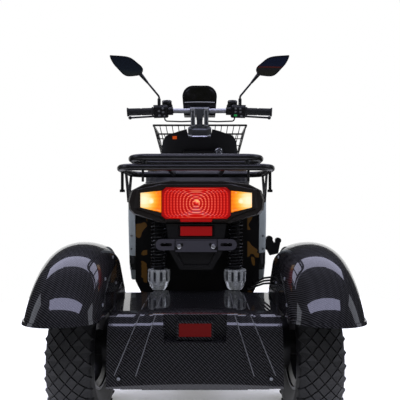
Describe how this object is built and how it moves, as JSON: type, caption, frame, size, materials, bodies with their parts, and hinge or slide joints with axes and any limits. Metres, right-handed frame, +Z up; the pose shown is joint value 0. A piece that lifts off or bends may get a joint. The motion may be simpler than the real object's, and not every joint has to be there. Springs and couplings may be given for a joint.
{
  "type": "three-wheel electric scooter",
  "caption": "Electric scooter trike with a steered front wheel, crowned rear fenders, luggage rack, wire basket, bar mirrors and a padded seat that lifts over a storage tub.",
  "frame": {"origin": "on the floor, under the middle of the whole scooter's length and width", "axes": "+X to the rider's right, +Y forward towards the front wheel, +Z up"},
  "size_m": [0.8232, 1.7258, 1.3],
  "materials": {
    "tyre": "matt black tyre rubber",
    "wheel_black": "satin black powder coat on cast alloy",
    "frame_black": "satin black powder coat on steel tube",
    "axle_grey": "dull olive-grey paint on steel",
    "carbon_gloss": "carbon-weave film under high gloss lacquer",
    "body_black": "fine-grained black moulded plastic",
    "camouflage": "printed grey and black camouflage under satin lacquer",
    "tail_brown": "satin brown-black moulded plastic",
    "red_lens": "clear red moulded acrylic, lit",
    "amber_lens": "clear amber moulded acrylic, lit",
    "red_reflector": "dark red prismatic reflector",
    "bracket_grey": "grey-violet moulded plastic",
    "chrome": "bright chrome plate",
    "bar_silver": "bright silver steel tube",
    "cast_black": "black painted die casting",
    "rubber": "matt black rubber",
    "mirror": "silvered mirror glass reflecting a dark room",
    "lamp_glass": "clear polycarbonate lamp glass",
    "vinyl": "black grained vinyl",
    "orange": "orange moulded plastic"
  },
  "bodies": {
    "chassis": {"rear_axle": "axle_grey", "swing_arms": "frame_black", "rear_cover": "carbon_gloss", "cover_reflector": "red_reflector", "fender_right": "carbon_gloss", "fender_left": "carbon_gloss", "fender_brackets": "axle_grey", "shock_bodies": "cast_black", "shock_caps": "chrome", "shock_springs": "frame_black", "main_frame": "frame_black", "battery": "body_black", "storage_bucket": "body_black", "side_panels": "camouflage", "splash_panel": "body_black", "body_front_panel": "body_black", "tail_housing": "tail_brown", "tail_lens_red": "red_lens", "tail_lens_amber": "amber_lens", "under_tail_box": "body_black", "tail_reflector": "red_reflector", "plate_bracket": "bracket_grey", "mudflap": "body_black", "rack": "frame_black", "leg_shield": "body_black", "column_cover": "body_black", "nose_cover": "body_black", "key_switch": "chrome", "shield_button": "orange", "floorboard": "rubber", "basket": "frame_black", "basket_bracket": "frame_black", "clip_holder": "body_black", "axle_hoses": "rubber"},
    "steering": {"fork": "frame_black", "front_fender": "carbon_gloss", "stem_riser": "cast_black", "handlebar": "bar_silver", "grips": "rubber", "switch_pods": "body_black", "brake_masters": "cast_black", "brake_levers": "frame_black", "mirror_stems": "frame_black", "mirror_heads": "body_black", "mirror_glasses": "mirror", "display_housing": "body_black", "headlamp": "lamp_glass", "control_cables": "rubber", "front_caliper": "cast_black"},
    "front_wheel": {"front_tyre": "tyre", "front_rim": "wheel_black"},
    "rear_wheel_right": {"rear_tyre_right": "tyre", "rear_rim_right": "wheel_black"},
    "rear_wheel_left": {"rear_tyre_left": "tyre", "rear_rim_left": "wheel_black"},
    "seat": {"seat_pan": "body_black", "seat_cushion": "vinyl"}
  },
  "joints": [
    {"name": "steering", "type": "hinge", "parent": "chassis", "child": "steering", "pos_m": [0, 0.61771, 0.20158], "axis": [0, -0.4067, 0.9135], "range_deg": [-38, 38]},
    {"name": "front_wheel_spin", "type": "hinge", "parent": "steering", "child": "front_wheel", "pos_m": [0, 0.64785, 0.215], "axis": [1, 0, 0], "continuous": true},
    {"name": "rear_wheel_right_spin", "type": "hinge", "parent": "chassis", "child": "rear_wheel_right", "pos_m": [0.307, -0.54214, 0.215], "axis": [1, 0, 0], "continuous": true},
    {"name": "rear_wheel_left_spin", "type": "hinge", "parent": "chassis", "child": "rear_wheel_left", "pos_m": [-0.307, -0.54214, 0.215], "axis": [1, 0, 0], "continuous": true},
    {"name": "seat_lift", "type": "hinge", "parent": "chassis", "child": "seat", "pos_m": [0, 0.03186, 0.614], "axis": [-1, 0, 0], "range_deg": [0, 70]}
  ]
}
